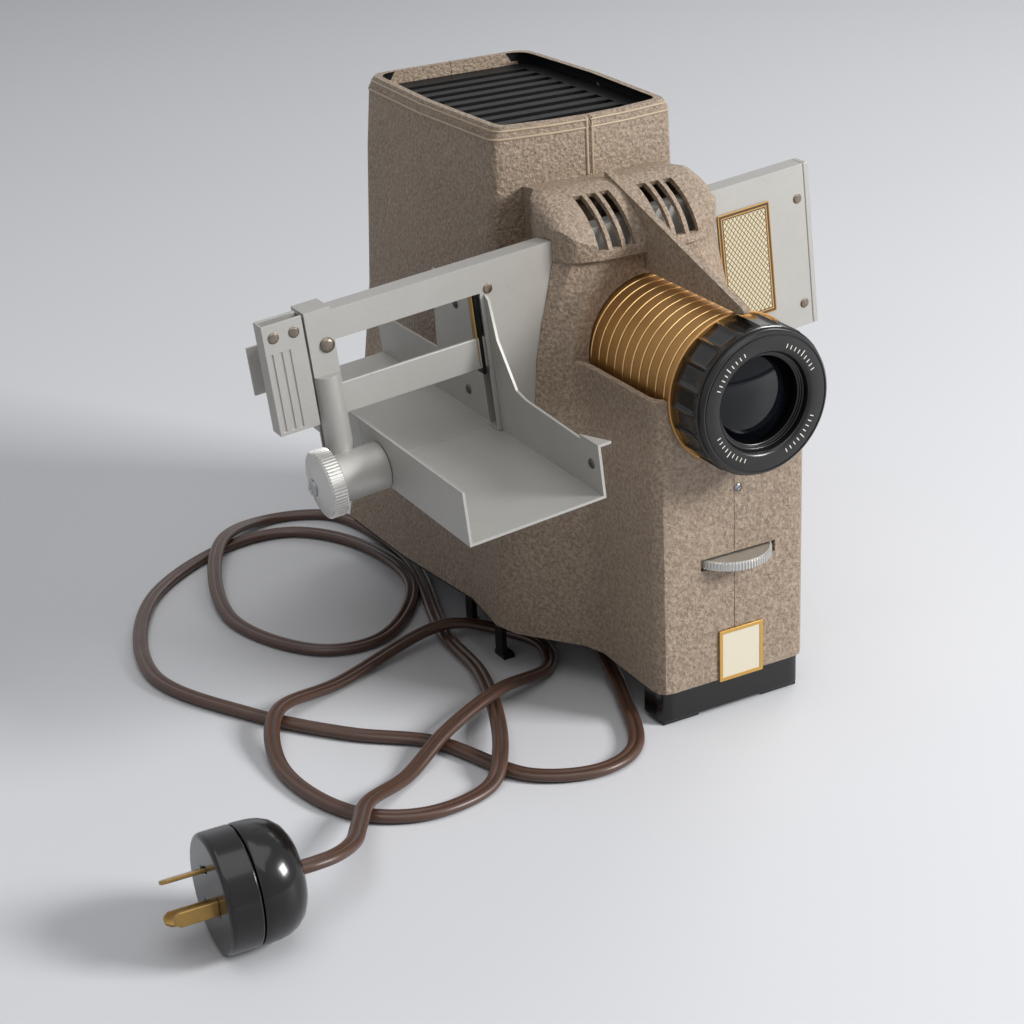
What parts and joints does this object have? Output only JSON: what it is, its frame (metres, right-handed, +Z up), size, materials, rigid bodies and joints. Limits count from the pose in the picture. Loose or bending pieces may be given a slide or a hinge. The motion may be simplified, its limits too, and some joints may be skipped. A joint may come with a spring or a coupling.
{
  "type": "slide projector",
  "caption": "Tabletop slide projector with a tapered cast housing, louvred hood, grooved focusing lens, side slide changer with tray guide, elevating front foot and a long flex with a round plug.",
  "frame": {"origin": "On the table, under the middle of the box that the projector fills without its lead; the lens points along -Y.", "axes": "+Z up, -Y towards the screen, +X to the right of a viewer who faces the lens."},
  "size_m": [0.3792, 0.3734, 0.2433],
  "materials": {
    "housing_paint": "satin",
    "black_enamel": "satin",
    "black_gloss_plastic": "gloss",
    "aluminium_sheet": "satin",
    "turned_aluminium": "machined",
    "gold_anodised": "satin",
    "steel": "brushed",
    "brass": "worn",
    "glass": "clear",
    "mirror_coating": "polished",
    "cream_ceramic": "matt",
    "badge_print": "printed",
    "brown_rubber": "satin"
  },
  "bodies": {
    "chassis": {"housing_left": "housing_paint", "housing_right": "housing_paint", "louvre_hood": "housing_paint", "top_grille": "black_enamel", "base_pan": "black_enamel", "blower_motor": "black_enamel", "cord_gland": "black_enamel", "power_switch": "black_gloss_plastic", "plug_cap": "black_gloss_plastic", "plug_base": "black_gloss_plastic", "changer_frame": "aluminium_sheet", "changer_end_strip": "aluminium_sheet", "changer_post": "aluminium_sheet", "tray_guide_front": "aluminium_sheet", "tray_guide_rear": "aluminium_sheet", "hood_clip": "aluminium_sheet", "nose_badge": "gold_anodised", "wheel_bracket": "steel", "guide_screw": "steel", "lamp_deck": "steel", "lamp_filament": "steel", "reflector_stand": "steel", "condenser_carrier": "steel", "motor_bracket": "steel", "switch_nut": "steel", "lamp_base": "brass", "post_screw": "brass", "plug_blade_1": "brass", "plug_blade_2": "brass", "plug_blade_3": "brass", "lamp_bulb": "glass", "condenser_front_lens": "glass", "condenser_rear_lens": "glass", "heat_glass": "glass", "reflector": "mirror_coating", "lamp_socket": "cream_ceramic", "panel_badge": "badge_print", "mains_cord": "brown_rubber"},
    "lens_cell": {"lens_tube": "black_enamel", "retaining_ring": "black_enamel", "front_lens": "glass", "middle_lens": "glass", "rear_lens": "glass"},
    "lens_mount": {"lens_barrel": "gold_anodised", "barrel_flange": "gold_anodised", "focus_knob": "black_gloss_plastic", "face_ring": "black_gloss_plastic"},
    "elevation_wheel_body": {"elevation_wheel": "turned_aluminium"},
    "foot": {"front_foot": "black_gloss_plastic", "elevation_screw": "steel"},
    "shuttle": {"shuttle_bar": "aluminium_sheet", "handle_plate": "aluminium_sheet"},
    "select": {"select_knob": "turned_aluminium", "knob_shaft": "steel", "knob_screw": "brass"},
    "fan": {"blower_fan": "turned_aluminium"},
    "switch_arm": {"switch_lever": "steel"}
  },
  "joints": [
    {"name": "focus_slide", "type": "slide", "parent": "chassis", "child": "lens_cell", "axis": [0, -1, 0], "range_m": [0, 0.018]},
    {"name": "focus_turn", "type": "hinge", "parent": "lens_cell", "child": "lens_mount", "pos_m": [0.03917, -0.14335, 0.1515], "axis": [0, -1, 0], "range_deg": [0, 1012.5]},
    {"name": "elevation_turn", "type": "hinge", "parent": "chassis", "child": "elevation_wheel_body", "pos_m": [0.04117, -0.11145, 0.0737], "axis": [0, 0, 1], "range_deg": [0, 3240]},
    {"name": "foot_slide", "type": "slide", "parent": "chassis", "child": "foot", "axis": [0, 0, -1], "range_m": [0, 0.018]},
    {"name": "shuttle_slide", "type": "slide", "parent": "chassis", "child": "shuttle", "axis": [-0.9957, 0, -0.0925], "range_m": [0, 0.062]},
    {"name": "select_turn", "type": "hinge", "parent": "chassis", "child": "select", "pos_m": [-0.10371, -0.05135, 0.12292], "axis": [0.9957, 0, 0.0925], "continuous": true},
    {"name": "fan_spin", "type": "hinge", "parent": "chassis", "child": "fan", "pos_m": [0.03917, 0.07065, 0.04], "axis": [0, 0, 1], "continuous": true},
    {"name": "switch_throw", "type": "hinge", "parent": "chassis", "child": "switch_arm", "pos_m": [0.03917, 0.12715, 0.052], "axis": [1, 0, 0], "range_deg": [-12, 12]}
  ],
  "couplings": [
    {"joint": "focus_turn", "follows": "focus_slide", "rad_per_m": 981.75},
    {"joint": "elevation_turn", "follows": "foot_slide", "rad_per_m": 3141.6}
  ]
}
